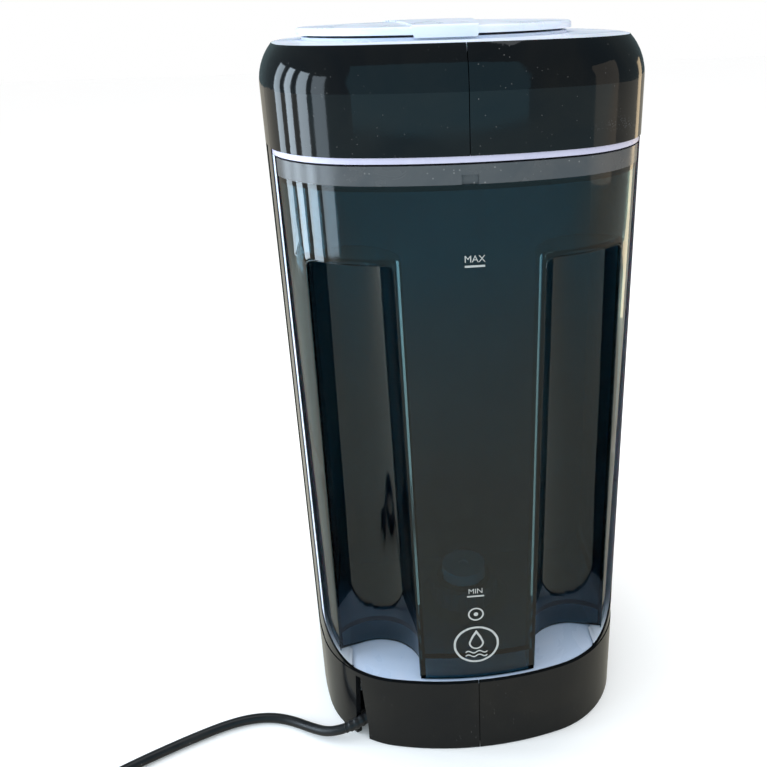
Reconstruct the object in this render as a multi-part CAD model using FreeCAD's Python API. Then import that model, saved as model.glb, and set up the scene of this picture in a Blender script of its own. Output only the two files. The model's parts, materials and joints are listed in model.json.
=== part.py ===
"""Cool mist humidifier: a rounded-square tower with a slide-out water tank at the back and a turning mist cap on top.

Millimetres, +Z up, the floor at z = 0, the tank side facing -Y and the control side facing +Y.
"""

import FreeCAD, Part
import math
import os
from FreeCAD import Vector

os.makedirs("parts", exist_ok=True)

# Plan of the tower: four shallow side arcs joined by four corner arcs.
HALF = 101.0
SIDE_R = 200.0
CORNER_R = 60.0
WALL = 3.0
GAP = 0.3
SEAM = 0.2
WELD = 0.05

# Heights.
CASE_Z = 0.5
PLATE_Z = 2.0
PLATE_T = 3.0
RIM_Z = 52.8
HEAD_Z = 363.5
SHOULDER_Z = 391.2
DECK_Z = 411.2
DISH_Z = 409.5
SHOULDER_IN = 8.0
TRAY_Z = 52.4
TRAY_T = 2.5
DRAIN_R = 30.0

# The tank bay and its opening.
BAY_X = 92.0
BAY_WALL = 2.0
BAY_BACK = 22.0
MOUTH_Y = -34.0
BEZEL_X = 94.0
BEZEL_R = 25.0
RIM_T = 2.4
BAY_CORNER = 23.0
WALL_FOOT = 78.0

# The tank.
TANK_X = 91.2
TANK_Z = 53.6
TANK_TOP = 350.5
COVER_TOP = 359.5
COVER_WALL = 2.5
TANK_BACK = 20.0
TANK_CORNER = 22.0
TANK_WALL = 2.5
TANK_FLOOR = 72.0
TANK_LOW_IN = 3.6
TANK_HIGH_IN = 1.5
GRIP_LOW = (61.0, -86.0)
GRIP_LOW_R = 28.0
GRIP_HIGH = (59.8, -88.0)
GRIP_HIGH_R = 24.3
GRIP_TOP = 312.5
GRIP_FILLET = 2.5
VALVE = (0.0, -20.0)
NECK_R = 18.0
STEM_R = 3.0

# The mist path.
DUCT = (0.0, 55.0)
DUCT_R = 24.0
DUCT_T = 2.0
BASIN_IN = 9.0
BASIN_Z = 14.5
BASIN_BACK = -60.0
BASIN_TOP = 49.0
COVER_T = 2.0

# The mist cap.
CAP = (-5.5, 18.0)
CAP_R = 76.0
CAP_LOW = 413.7
CAP_RIM = 3.6
CAP_TOP = 418.6
CAP_EDGE_R = 1.5
BAND_RISE = 0.8
BAND_FAR = 28.0
BAND_NEAR = 15.5
TAB_DROP = 1.4
COLLAR_R = 73.5
OUTLET_R = 20.0

# The control side, the fan and the fixings.
PANEL_X = 44.0
PANEL_LOW = 72.5
PANEL_HIGH = 378.5
WINDOW_X = 26.0
WINDOW_LOW = 298.5
WINDOW_HIGH = 354.5
PLENUM_LOW = 368.5
PLENUM_TOP = 400.5
PLENUM_X = 30.0
FLOAT = (-42.0, 58.0)
FAN = (58.0, 52.0)
FAN_R = 24.0
FAN_Z = 51.0
FAN_H = 18.0
SCREWS = [(side_x * 74, side_y * 38) for side_x in (-1, 1) for side_y in (-1, 1)]
FEET = [(side_x * 58, side_y * 64) for side_x in (-1, 1) for side_y in (-1, 1)]

# The mains lead.
CORD_D = 6.0
CORD_R = CORD_D / 2
COIL = (-241.2, -153.1)
COIL_R = 33.0
COIL_BUNDLE = 9.0
LEAD = [
    (-58.0, -76.0, 15.2),
    (-70.0, -82.6, 13.6),
    (-82.0, -85.8, 10.4),
    (-94.2, -84.2, 6.6),
    (-105.9, -76.6, 3.9),
    (-117.4, -69.2, 3.05),
    (-130.5, -64.6, 3.05),
    (-144.6, -64.0, 3.05),
    (-159.7, -67.2, 3.05),
    (-176.8, -74.1, 3.05),
    (-194.9, -82.5, 3.05),
    (-214.0, -92.2, 3.05),
    (-232.1, -103.0, 3.05),
    (-247.2, -114.9, 3.05),
    (-259.3, -127.0, 5.0),
]
TAIL = [
    (-257.3, -181.8, 8.5),
    (-246.2, -188.8, 8.0),
    (-233.6, -192.8, 7.4),
    (-220.5, -193.9, 7.0),
    (-207.5, -193.6, 7.0),
]
PLUG_X = -207.5
PLUG_Y = -193.6
PLUG_T = 14.0


def outline(inset, z):
    """The plan drawn in by inset, as a closed wire at height z."""
    away = SIDE_R - HALF
    span = SIDE_R - CORNER_R
    centre = (math.sqrt(2 * span * span - away * away) - away) / 2
    side = SIDE_R - inset
    tx = side * centre / span
    ty = side * (centre + away) / span - away
    mid = centre + (CORNER_R - inset) * math.sqrt(0.5)
    edges = []
    for turn in range(4):
        spin = FreeCAD.Rotation(Vector(0, 0, 1), -90 * turn)
        a, b, c, d, e = [
            spin.multVec(Vector(x, y, z))
            for x, y in ((-tx, ty), (0, HALF - inset), (tx, ty), (mid, mid), (ty, tx))
        ]
        edges.append(Part.Arc(a, b, c).toShape())
        edges.append(Part.Arc(c, d, e).toShape())
    return Part.Wire(edges)


def prism(inset, z0, z1):
    return Part.Face(outline(inset, z0)).extrude(Vector(0, 0, z1 - z0))


def shell(outer, inner, z0, z1):
    return prism(outer, z0, z1).cut(prism(inner, z0, z1))


def taper(low_in, high_in, z0, z1):
    return Part.makeLoft([outline(low_in, z0), outline(high_in, z1)], True, True)


def box(x0, x1, y0, y1, z0, z1):
    return Part.makeBox(x1 - x0, y1 - y0, z1 - z0, Vector(x0, y0, z0))


def rod(x, y, r, z0, z1):
    return Part.makeCylinder(r, z1 - z0, Vector(x, y, z0))


def tube(x, y, r_out, r_in, z0, z1):
    return rod(x, y, r_out, z0, z1).cut(rod(x, y, r_in, z0, z1))


def behind(y):
    """Everything on the tank side of y."""
    return box(-300, 300, -300, y, -50, 600)


def ahead(y):
    return box(-300, 300, y, 300, -50, 600)


def save(name, shape):
    solids = shape.Solids
    whole = Part.makeCompound(solids) if len(solids) > 1 else solids[0]
    state = "ok" if solids and all(s.isValid() and s.isClosed() for s in solids) else "BAD"
    b = whole.BoundBox
    print(
        f"{name:18s} {state} {len(solids):2d} solids {whole.Volume / 1000:9.2f} cm3"
        f"  x {b.XMin:7.1f} {b.XMax:7.1f}  y {b.YMin:7.1f} {b.YMax:7.1f}  z {b.ZMin:6.1f} {b.ZMax:6.1f}"
    )
    whole.exportStep(f"parts/{name}.step")


def route_tube(points, r, name):
    """A round tube along straight runs joined by tangent arcs as large as the runs allow."""
    pts = [Vector(*p) for p in points]
    edges = []
    here = pts[0]
    radii = []
    for a, b, c in zip(pts, pts[1:], pts[2:]):
        back, on = (a - b), (c - b)
        short = min(back.Length, on.Length)
        back.normalize()
        on.normalize()
        half_turn = (math.pi - back.getAngle(on)) / 2
        radius = 0.45 * short / math.tan(half_turn)
        radii.append(radius)
        cut = 0.45 * short
        start = b + back * cut
        end = b + on * cut
        inward = back + on
        inward.normalize()
        centre = b + inward * (radius / math.cos(half_turn))
        middle = centre - inward * radius
        edges.append(Part.LineSegment(here, start).toShape())
        edges.append(Part.Arc(start, middle, end).toShape())
        here = end
    edges.append(Part.LineSegment(here, pts[-1]).toShape())
    path = Part.Wire(edges)
    first = pts[1] - pts[0]
    ring = Part.Wire([Part.makeCircle(r, pts[0], first)])
    solid = path.makePipeShell([ring], True, False)
    want = math.pi * r * r * path.Length
    print(
        f"{name}: length {path.Length:.1f} mm, volume {solid.Volume:.0f} for {want:.0f} mm3,"
        f" radii {', '.join(f'{x:.0f}' for x in radii)} mm"
    )
    return solid


def casing():
    """The two moulded halves of the gloss outer shell, with a shoulder drawn in at the top."""
    steps = 5
    rise = DECK_Z - SHOULDER_Z
    arc_r = (SHOULDER_IN**2 + rise**2) / (2 * SHOULDER_IN)
    sections = []
    for n in range(steps + 1):
        up = rise * n / steps
        sections.append(outline(arc_r - math.sqrt(arc_r**2 - up**2), SHOULDER_Z + up))
    shoulder = Part.makeLoft(sections, True, False)
    body = prism(0, CASE_Z, SHOULDER_Z).fuse(shoulder)
    body = body.cut(prism(WALL, CASE_Z - 1, SHOULDER_Z - 1))
    body = body.cut(prism(SHOULDER_IN + 3, SHOULDER_Z - 2, DECK_Z + 1))
    body = body.cut(prism(SHOULDER_IN, DECK_Z - 3.8, DECK_Z + 1))
    mouth = box(-150, 150, -150, MOUTH_Y, RIM_Z, HEAD_Z)
    body = body.cut(mouth)
    rebate = prism(RIM_T, TRAY_Z - TRAY_T, RIM_Z + 1).common(behind(MOUTH_Y))
    body = body.cut(rebate)
    panel = box(-PANEL_X - GAP, PANEL_X + GAP, 50, 150, PANEL_LOW - GAP, PANEL_HIGH + GAP)
    body = body.cut(panel)
    body = body.cut(cord_slot())
    left = body.common(box(-150, -SEAM, -150, 150, -10, 500))
    right = body.common(box(SEAM, 150, -150, 150, -10, 500))
    return left, right


def cord_slot():
    """The cut for the lead: a slit up the base band that widens to a round-topped foot."""
    along = Vector(LEAD[1][0] - LEAD[0][0], LEAD[1][1] - LEAD[0][1], 0)
    along.normalize()
    across = Vector(-along.y, along.x, 0)
    origin = Vector(LEAD[1][0], LEAD[1][1], 0)
    reach = 9.0
    top, foot = 1.6, 4.3
    pts = []
    high = TRAY_Z - TRAY_T - 0.3
    for side, z in ((-foot, -5), (foot, -5), (foot, 11), (top, high), (-top, high), (-foot, 11)):
        pts.append(origin - along * reach + across * side + Vector(0, 0, z))
    wire = Part.makePolygon(pts + pts[:1])
    return Part.Face(wire).extrude(along * (2 * reach))


def front_panel():
    plate = shell(0.2, WALL, PANEL_LOW, PANEL_HIGH)
    plate = plate.common(box(-PANEL_X, PANEL_X, 50, 150, 0, 500))
    window = box(-WINDOW_X - GAP, WINDOW_X + GAP, 50, 150, WINDOW_LOW - GAP, WINDOW_HIGH + GAP)
    pocket = shell(0, 1.7, WINDOW_LOW - GAP, WINDOW_HIGH + GAP).common(window)
    return plate.cut(pocket)


def display_window():
    plate = shell(0.2, 1.5, WINDOW_LOW, WINDOW_HIGH)
    return plate.common(box(-WINDOW_X, WINDOW_X, 50, 150, 0, 500))


def rounded_mouth(half, low, r, back):
    """A block through the tank side, as wide as the mouth, with rounded lower corners."""
    high = HEAD_Z + 20
    block = box(-half, half, -150, back, low + r, high)
    block = block.fuse(box(-half + r, half - r, -150, back, low, high))
    for side in (-1, 1):
        foot = Vector(side * (half - r), -150, low + r)
        block = block.fuse(Part.makeCylinder(r, 150 + back, foot, Vector(0, 1, 0)))
    return block.removeSplitter()


def bezel():
    """The two black strips beside the bay's mouth, each with a rounded lower corner."""
    face = shell(0.4, WALL, RIM_Z + GAP, HEAD_Z - GAP).common(behind(MOUTH_Y - GAP))
    rim = face.cut(rounded_mouth(BEZEL_X, TRAY_Z, BEZEL_R, 0))
    left = rim.common(box(-150, -SEAM, -150, 150, 0, 500))
    right = rim.common(box(SEAM, 150, -150, 150, 0, 500))
    return left, right


def bay_tray():
    """The white floor of the bay, with the hole that the tank's valve drains through."""
    floor = prism(RIM_T + 0.2, TRAY_Z - TRAY_T, TRAY_Z)
    floor = floor.common(box(-BAY_X, BAY_X, -150, BAY_BACK, 0, 100))
    return floor.cut(rod(*VALVE, DRAIN_R, 0, 100))


def bay_side(side):
    """One white side wall of the bay: it curves into the tray at its foot, and its front edge shows."""
    wall = rounded_mouth(BEZEL_X, TRAY_Z, BEZEL_R, BAY_BACK)
    wall = wall.cut(rounded_mouth(BAY_X, TRAY_Z, BAY_CORNER, BAY_BACK))
    wall = wall.common(prism(RIM_T + 0.2, TRAY_Z, HEAD_Z - 3))
    low, high = sorted((side * WALL_FOOT, side * 150.0))
    return wall.common(box(low, high, -150, BAY_BACK, TRAY_Z, HEAD_Z))


def bay_back():
    return box(-BAY_X - BAY_WALL, BAY_X + BAY_WALL, BAY_BACK, BAY_BACK + BAY_WALL, TRAY_Z - TRAY_T, HEAD_Z)


def bay_ceiling():
    """The white lid of the bay, its lip showing above the tank."""
    plate = prism(1.0, HEAD_Z - 3, HEAD_Z)
    return plate.common(box(-BAY_X - BAY_WALL, BAY_X + BAY_WALL, -150, BAY_BACK, 0, 500))


def grip_cut(grow, top):
    """The two finger recesses: upright half-round scallops that narrow upwards to a flat ceiling."""
    cuts = []
    below = -10 / (GRIP_TOP - TANK_Z)
    above = (top - TANK_Z) / (GRIP_TOP - TANK_Z)
    r_low = GRIP_LOW_R + (GRIP_HIGH_R - GRIP_LOW_R) * below + grow
    r_top = GRIP_LOW_R + (GRIP_HIGH_R - GRIP_LOW_R) * above + grow
    for side in (-1, 1):
        foot = Vector(side * GRIP_LOW[0], GRIP_LOW[1], TANK_Z)
        lean = Vector(side * GRIP_HIGH[0], GRIP_HIGH[1], GRIP_TOP) - foot
        start = foot + lean * below
        reach = lean * (above - below)
        post = Part.makeCone(r_low, r_top, reach.Length, start, reach)
        edges = [e for e in post.Edges if e.BoundBox.ZMin > top - 3]
        cuts.append(post.makeFillet(GRIP_FILLET, edges))
    return cuts[0].fuse(cuts[1])


def tank():
    """The water tank: a drafted hollow block with a threaded neck, and the open foot welded on below its floor."""
    draft = (TANK_HIGH_IN - TANK_LOW_IN) / (TANK_TOP - TANK_Z)
    outer = taper(TANK_LOW_IN, TANK_HIGH_IN, TANK_Z, TANK_TOP)
    limit = rounded_mouth(TANK_X, TANK_Z, TANK_CORNER, TANK_BACK)
    outer = outer.common(limit).cut(grip_cut(0, GRIP_TOP))
    base_in = TANK_LOW_IN + draft * (TANK_FLOOR - TANK_Z) + TANK_WALL
    water = taper(base_in, TANK_HIGH_IN + TANK_WALL, TANK_FLOOR, TANK_TOP)
    w = TANK_WALL
    water = water.common(box(-TANK_X + w, TANK_X - w, -150, TANK_BACK - w, 0, TANK_TOP - 3))
    water = water.common(rounded_mouth(TANK_X - w, TANK_Z + w, TANK_CORNER - w, TANK_BACK))
    water = water.cut(grip_cut(w, GRIP_TOP + w))
    under = prism(TANK_LOW_IN + w, TANK_Z - 5, TANK_FLOOR - w)
    inside = rounded_mouth(TANK_X - w, TANK_Z - 5, TANK_CORNER, TANK_BACK + 5)
    under = under.common(inside)
    under = under.cut(grip_cut(w, GRIP_TOP + w))
    neck = rod(*VALVE, NECK_R, TANK_FLOOR - 12, TANK_FLOOR)
    body = outer.cut(water).cut(under).fuse(neck)
    body = body.cut(rod(*VALVE, NECK_R - 3, TANK_FLOOR - 13, TANK_FLOOR + 2))
    rear = box(-TANK_X, TANK_X, 10, TANK_BACK + 5, TANK_Z - 5, TANK_Z + 8)
    body = body.cut(rear).removeSplitter()
    below = box(-150, 150, -150, 150, 0, TANK_FLOOR - TANK_WALL)
    below = below.cut(rod(*VALVE, NECK_R + 4, 0, 200))
    foot = body.common(below)
    foot = foot.cut(box(-150, 150, -150, 150, TANK_FLOOR - TANK_WALL - WELD, 200))
    return body.cut(below), foot


def tank_cover():
    """The hollow lid along the tank's top, with a small finger notch at the middle of its front."""
    edge = TANK_HIGH_IN - 0.2
    cover = prism(edge, TANK_TOP, COVER_TOP)
    cover = cover.common(box(-TANK_X, TANK_X, -150, TANK_BACK, 0, 500))
    hollow = prism(edge + COVER_WALL, TANK_TOP - 1, COVER_TOP - COVER_WALL)
    half = TANK_X - COVER_WALL
    cover = cover.cut(hollow.common(box(-half, half, -150, TANK_BACK - COVER_WALL, 0, 500)))
    notch = box(-4, 4, -150, edge - HALF + 1.2, TANK_TOP - 1, TANK_TOP + 4.4)
    return cover.cut(notch)


def tank_seal():
    return tube(*VALVE, NECK_R - 0.2, NECK_R - 3, TANK_FLOOR - 13.2, TANK_FLOOR - 12)


def tank_cap():
    """The screw cap under the tank: a ribbed cup round the neck with a seat for the valve."""
    x, y = VALVE
    low = TANK_FLOOR - 16.5
    cup = rod(x, y, NECK_R + 4, low, TANK_FLOOR - 3)
    cup = cup.cut(rod(x, y, NECK_R + 0.4, low + 3, TANK_FLOOR))
    cup = cup.cut(rod(x, y, 7, low - 1, low + 4))
    ribs = 24
    for n in range(ribs):
        a = 2 * math.pi * n / ribs
        reach = NECK_R + 4
        cup = cup.fuse(rod(x + reach * math.cos(a), y + reach * math.sin(a), 0.8, low, TANK_FLOOR - 3))
    return cup


def valve_plunger():
    """The valve's stem and disc; the disc seals the cap's hole from above."""
    x, y = VALVE
    low = TANK_FLOOR - 16.5
    stem = rod(x, y, STEM_R, low - 2.2, low + 23)
    disc = rod(x, y, 10, low + 3.3, low + 6)
    return stem.fuse(disc)


def valve_cage():
    """The bridge over the valve that its spring pushes against."""
    x, y = VALVE
    low = TANK_FLOOR - 16.5
    ring = tube(x, y, 14.4, 12, low + 3, low + 22)
    top = rod(x, y, 14.4, low + 22, low + 24)
    cage = ring.fuse(top).cut(rod(x, y, STEM_R + 0.08, low, low + 30))
    windows = box(x - 20, x + 20, y - 5, y + 5, low + 7, low + 19)
    return cage.cut(windows)


def coil_spring(x, y, r, wire, z0, z1, turns):
    """A compression spring as one swept helix of six-sided wire."""
    low, high = z0 + wire, z1 - wire
    helix = Part.makeHelix((high - low) / turns, high - low, r)
    helix.translate(Vector(x, y, low))
    corners = []
    for n in range(7):
        a = math.pi * n / 3
        corners.append(Vector(x + r + wire * math.cos(a), y, low + wire * math.sin(a)))
    return Part.Wire(helix.Edges).makePipeShell([Part.makePolygon(corners)], True, True)


def valve_spring():
    low = TANK_FLOOR - 16.5
    return coil_spring(*VALVE, 6, 0.5, low + 6.1, low + 21.9, 6)


def water_basin():
    """The reservoir under the bay: an open dish with posts for the valve and the float."""
    dish = prism(BASIN_IN, BASIN_Z, BASIN_TOP).common(ahead(BASIN_BACK))
    hollow = prism(BASIN_IN + 2.5, BASIN_Z + 2.5, BASIN_TOP + 5).common(ahead(BASIN_BACK + 2.5))
    dish = dish.cut(hollow)
    pin = rod(*VALVE, 2.5, BASIN_Z + 1, TANK_FLOOR - 19.2)
    post = rod(*FLOAT, 2, BASIN_Z + 1, BASIN_Z + 28)
    return dish.fuse([pin, post]).cut(rod(*DUCT, 12, 0, 30)).removeSplitter()


def water_float():
    return tube(*FLOAT, 10, 2.4, BASIN_Z + 2.9, BASIN_Z + 11)


def transducer_seal():
    ring = tube(*DUCT, 12, 8.5, BASIN_Z, BASIN_Z + 3)
    return ring.cut(rod(*DUCT, 10, BASIN_Z + 1, BASIN_Z + 2))


def transducer_disc():
    return rod(*DUCT, 10, BASIN_Z + 1, BASIN_Z + 2)


def transducer_ring():
    ring = tube(*DUCT, 20, 8.5, BASIN_Z - 3, BASIN_Z)
    for n in range(3):
        ring = ring.cut(rod(*around(DUCT, 16, 120 * n + 30), 1.6, 0, 50))
    return ring


def around(centre, r, degrees):
    a = math.radians(degrees)
    return centre[0] + r * math.cos(a), centre[1] + r * math.sin(a)


def transducer_screws():
    made = []
    for n in range(3):
        x, y = around(DUCT, 16, 120 * n + 30)
        made.append(rod(x, y, 2.8, BASIN_Z - 5, BASIN_Z - 3).fuse(rod(x, y, 1.5, BASIN_Z - 5, BASIN_Z)))
    return Part.makeCompound(made)


def basin_cover():
    """The lid over the front of the basin, with holes for the chimney and for the fan's air."""
    cover = prism(BASIN_IN, BASIN_TOP, BASIN_TOP + COVER_T).common(ahead(BAY_BACK + BAY_WALL + GAP))
    cover = cover.cut(rod(*DUCT, DUCT_R - DUCT_T, 0, 500))
    return cover.cut(rod(*FAN, 17, 0, 60))


def mist_duct():
    """The chimney that carries the mist up the front of the tower."""
    return tube(*DUCT, DUCT_R, DUCT_R - DUCT_T, BASIN_TOP + COVER_T, PLENUM_LOW)


def mist_plenum():
    """The box under the deck that leads the mist from the chimney to the outlet at the cap's centre."""
    y0, y1 = CAP[1] - 30, DUCT[1] + 28
    case = box(-PLENUM_X, PLENUM_X, y0, y1, PLENUM_LOW, PLENUM_TOP)
    case = case.cut(box(-PLENUM_X + 2, PLENUM_X - 2, y0 + 2, y1 - 2, PLENUM_LOW + 2, PLENUM_TOP - 2))
    case = case.fuse(rod(*CAP, OUTLET_R, PLENUM_TOP - 2, DISH_Z + 3))
    case = case.cut(rod(*CAP, OUTLET_R - 2, PLENUM_TOP - 10, DISH_Z + 9))
    return case.cut(rod(*DUCT, DUCT_R - DUCT_T, PLENUM_LOW - 5, PLENUM_LOW + 5))


def top_deck():
    """The white top plate with the round collar that the mist cap turns on."""
    plate = prism(SHOULDER_IN + 0.2, DECK_Z - 3.6, DECK_Z)
    plate = plate.fuse(rod(*CAP, COLLAR_R, DECK_Z - 1, CAP_LOW - 1.2))
    plate = plate.cut(rod(*CAP, COLLAR_R - 3, DISH_Z, CAP_LOW + 5))
    return plate.cut(rod(*CAP, OUTLET_R + 0.1, DECK_Z - 10, CAP_LOW + 5)).removeSplitter()


def cap_base():
    """The dish under the mist cap: it lifts out of the collar and carries the turning disc."""
    x, y = CAP
    dish = rod(x, y, COLLAR_R - 3.5, DISH_Z + 0.4, DISH_Z + 2.2)
    dish = dish.cut(rod(x, y, OUTLET_R + 0.6, DISH_Z - 5, CAP_TOP))
    rim = tube(x, y, OUTLET_R + 3, OUTLET_R + 0.6, DISH_Z + 0.4, CAP_LOW + 1)
    return dish.fuse(rim).removeSplitter()


def cap_band(rise, low):
    """The raised strip that runs across the cap and narrows towards the tank side."""
    x, y = CAP
    far, near = CAP_R - 0.6, CAP_R + 0.8
    pts = [(-BAND_FAR, far), (BAND_FAR, far), (BAND_NEAR, -near), (-BAND_NEAR, -near)]
    wire = Part.makePolygon([Vector(x + a, y + b, low) for a, b in pts + pts[:1]])
    strip = Part.Face(wire).extrude(Vector(0, 0, 30))
    return strip.common(dome(CAP_R + 0.8, low, rise))


def dome(r, low, rise):
    """A disc of radius r with a rounded rim, whose top is a shallow part of a ball."""
    height = CAP_TOP - CAP_LOW - CAP_RIM
    top = CAP_TOP + rise
    ball_r = (CAP_R**2 + height**2) / (2 * height)

    def on_ball(at):
        return Vector(at, 0, top - ball_r + math.sqrt(ball_r**2 - at**2))

    rim = on_ball(r - CAP_EDGE_R)
    side = Vector(r, 0, rim.z - CAP_EDGE_R)
    corner = Vector(side.x, 0, rim.z) - Vector(1, 0, 1) * CAP_EDGE_R * (1 - math.sqrt(0.5))
    sides = [
        Part.LineSegment(Vector(0, 0, low), Vector(r, 0, low)).toShape(),
        Part.LineSegment(Vector(r, 0, low), side).toShape(),
        Part.Arc(side, corner, rim).toShape(),
        Part.Arc(rim, on_ball(r / 2), Vector(0, 0, top)).toShape(),
        Part.LineSegment(Vector(0, 0, top), Vector(0, 0, low)).toShape(),
    ]
    solid = Part.Face(Part.Wire(sides)).revolve(Vector(0, 0, 0), Vector(0, 0, 1), 360)
    solid.translate(Vector(CAP[0], CAP[1], 0))
    return solid


def tab_block(x, y):
    """The tab's width, with its lower corners rounded."""
    r = TAB_DROP * 0.8
    low = CAP_LOW - TAB_DROP
    block = box(x - BAND_NEAR, x + BAND_NEAR, y - 100, y, low + r, low + 10)
    block = block.fuse(box(x - BAND_NEAR + r, x + BAND_NEAR - r, y - 100, y, low, low + 10))
    for side in (-1, 1):
        corner = Vector(x + side * (BAND_NEAR - r), y - 100, low + r)
        block = block.fuse(Part.makeCylinder(r, 100, corner, Vector(0, 1, 0)))
    return block.removeSplitter()


def mist_cap():
    """The turning disc: a shallow dome with a raised band, a tab over its near edge and a mist mouth at the far one."""
    x, y = CAP
    disc = dome(CAP_R, CAP_LOW, 0)
    band = cap_band(BAND_RISE, CAP_LOW)
    tab = tube(x, y, CAP_R + 0.8, COLLAR_R + 0.8, CAP_LOW - TAB_DROP, CAP_LOW + 1)
    tab = tab.common(tab_block(x, y))
    disc = disc.fuse(band).fuse(tab)
    hollow = rod(x, y, CAP_R - 8, CAP_LOW - 1, CAP_LOW + 1.6)
    channel = box(x - 22, x + 22, y - 24, y + 100, CAP_LOW - 1, CAP_LOW + 3.2)
    return disc.cut(hollow).cut(channel).removeSplitter()


def base_plate():
    """The black bottom plate, with rows of air slots between its front feet."""
    plate = prism(WALL + 0.3, PLATE_Z, PLATE_Z + PLATE_T)
    for n in range(7):
        y = 36 + 6 * n
        plate = plate.cut(box(-30, 30, y, y + 3, 0, 10))
    plate = plate.cut(Part.makeCylinder(14, 40, Vector(-66, -80, -5)))
    for x, y in SCREWS:
        plate = plate.cut(rod(x, y, 2, -5, 10))
    return plate


def feet():
    made = []
    for x, y in FEET:
        pad = rod(x, y, 9, 0, PLATE_Z)
        low = [e for e in pad.Edges if e.BoundBox.ZMax < 0.1]
        made.append(pad.makeFillet(0.6, low))
    return Part.makeCompound(made)


def base_screws():
    made = []
    low = PLATE_Z - 1.7
    for x, y in SCREWS:
        head = rod(x, y, 3.4, low, PLATE_Z)
        made.append(head.fuse(rod(x, y, 1.6, low, BASIN_Z)))
    return Part.makeCompound(made)


def fan_housing():
    """The fan's frame: a ring with three struts that hold the motor."""
    x, y = FAN
    frame = tube(x, y, FAN_R, FAN_R - 2, FAN_Z, FAN_Z + FAN_H)
    for n in range(3):
        strut = box(x, x + FAN_R - 1, y - 1.2, y + 1.2, FAN_Z, FAN_Z + 2)
        strut.rotate(Vector(x, y, 0), Vector(0, 0, 1), 120 * n)
        frame = frame.fuse(strut)
    return frame.fuse(rod(x, y, 8, FAN_Z, FAN_Z + 2))


def fan_motor():
    x, y = FAN
    return tube(x, y, 6.5, 1.6, FAN_Z + 2, FAN_Z + 12)


def fan_rotor():
    """The impeller: a cup over the motor with seven twisted blades and a shaft."""
    x, y = FAN
    top = FAN_Z + FAN_H - 2
    hub = rod(x, y, 9, FAN_Z + 3, top).cut(rod(x, y, 7.4, FAN_Z + 2, top - 2))
    rotor = hub.fuse(rod(x, y, 1.55, FAN_Z + 2.4, top - 1))
    blades = 7
    for n in range(blades):
        blade = box(x + 8.5, x + FAN_R - 3, y - 0.7, y + 0.7, FAN_Z + 4, top - 0.5)
        blade.rotate(Vector(x, y, FAN_Z + 10), Vector(1, 0, 0), 38)
        blade = blade.common(rod(x, y, FAN_R - 3, FAN_Z + 3.5, top))
        blade.rotate(Vector(x, y, 0), Vector(0, 0, 1), 360 * n / blades)
        rotor = rotor.fuse(blade)
    return rotor.removeSplitter()


def air_filter():
    x, y = FAN
    return rod(x, y, FAN_R, FAN_Z + FAN_H, FAN_Z + FAN_H + 5)


def power_board():
    return box(-84, -34, 44, 45.6, 92, 192)


def transformer():
    return box(-72, -46, 46, 66, 100, 126)


def capacitors():
    made = []
    for x, z in ((-74, 150), (-58, 150), (-46, 168)):
        made.append(Part.makeCylinder(6, 18, Vector(x, 45.6, z), Vector(0, 1, 0)))
    return Part.makeCompound(made)


def heat_sink():
    plate = box(-84, -34, 40, 43.6, 100, 160)
    for n in range(6):
        plate = plate.fuse(box(-82 + 9 * n, -80 + 9 * n, 30, 41, 100, 160))
    return plate


def driver_board():
    return box(34, 80, 44, 45.6, 100, 170)


def touch_board():
    return box(-24, 24, 91, 92.6, 290, 356)


def cord_gland():
    """The rubber strain relief that grips the lead behind the casing."""
    start, end = Vector(*LEAD[0]), Vector(*LEAD[1])
    along = end - start
    along.normalize()
    body = Part.makeCylinder(4.6, 6.5, start + along * 0.5, along)
    flange = Part.makeCylinder(5.6, 2.5, start + along * 0.5, along)
    return body.fuse(flange).cut(Part.makeCylinder(CORD_R, 30, start - along * 5, along))


def cord_coil():
    return Part.makeTorus(COIL_R, COIL_BUNDLE, Vector(*COIL, COIL_BUNDLE))


def plug_body():
    """The moulded two-pin plug, lying flat: a narrow nose that flares to the face."""
    x, y = PLUG_X, PLUG_Y
    pts = [(0, -5), (12, -6), (20, -13), (38, -15), (38, 15), (20, 13), (12, 6), (0, 5)]
    wire = Part.makePolygon([Vector(x + a, y + b, 0) for a, b in pts + pts[:1]])
    block = Part.Face(wire).extrude(Vector(0, 0, PLUG_T))
    long_edges = [e for e in block.Edges if e.BoundBox.ZLength < 0.1 and e.BoundBox.XMax < x + 37]
    return block.makeFillet(2.5, long_edges)


def plug_pins():
    made = []
    for side in (-1, 1):
        start = Vector(PLUG_X + 38, PLUG_Y + side * 9.3, PLUG_T / 2)
        pin = Part.makeCylinder(2, 19, start, Vector(1, 0, 0))
        tip = [e for e in pin.Edges if e.BoundBox.XMin > PLUG_X + 56]
        made.append(pin.makeFillet(1.2, tip))
    return Part.makeCompound(made)


def main():
    left, right = casing()
    save("casing_left", left)
    save("casing_right", right)
    left, right = bezel()
    save("bezel_left", left)
    save("bezel_right", right)
    body, foot = tank()
    save("tank_body", body)
    save("tank_foot", foot)
    save("bay_wall_left", bay_side(-1))
    save("bay_wall_right", bay_side(1))
    save("cord", route_tube(LEAD, CORD_R, "lead"))
    save("cord_tail", route_tube(TAIL, CORD_R, "tail"))
    pieces = [
        front_panel, display_window, bay_tray, bay_back, bay_ceiling, tank_cover,
        tank_seal, tank_cap, valve_plunger, valve_cage, valve_spring, water_basin, basin_cover, water_float,
        transducer_seal, transducer_disc, transducer_ring, transducer_screws, mist_duct, mist_plenum,
        top_deck, cap_base, mist_cap, base_plate, feet, base_screws, fan_housing, fan_motor, fan_rotor,
        air_filter, power_board, transformer, capacitors, heat_sink, driver_board, touch_board,
        cord_gland, cord_coil, plug_body, plug_pins,
    ]
    for piece in pieces:
        save(piece.__name__, piece())


main()
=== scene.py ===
import json
import math

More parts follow.
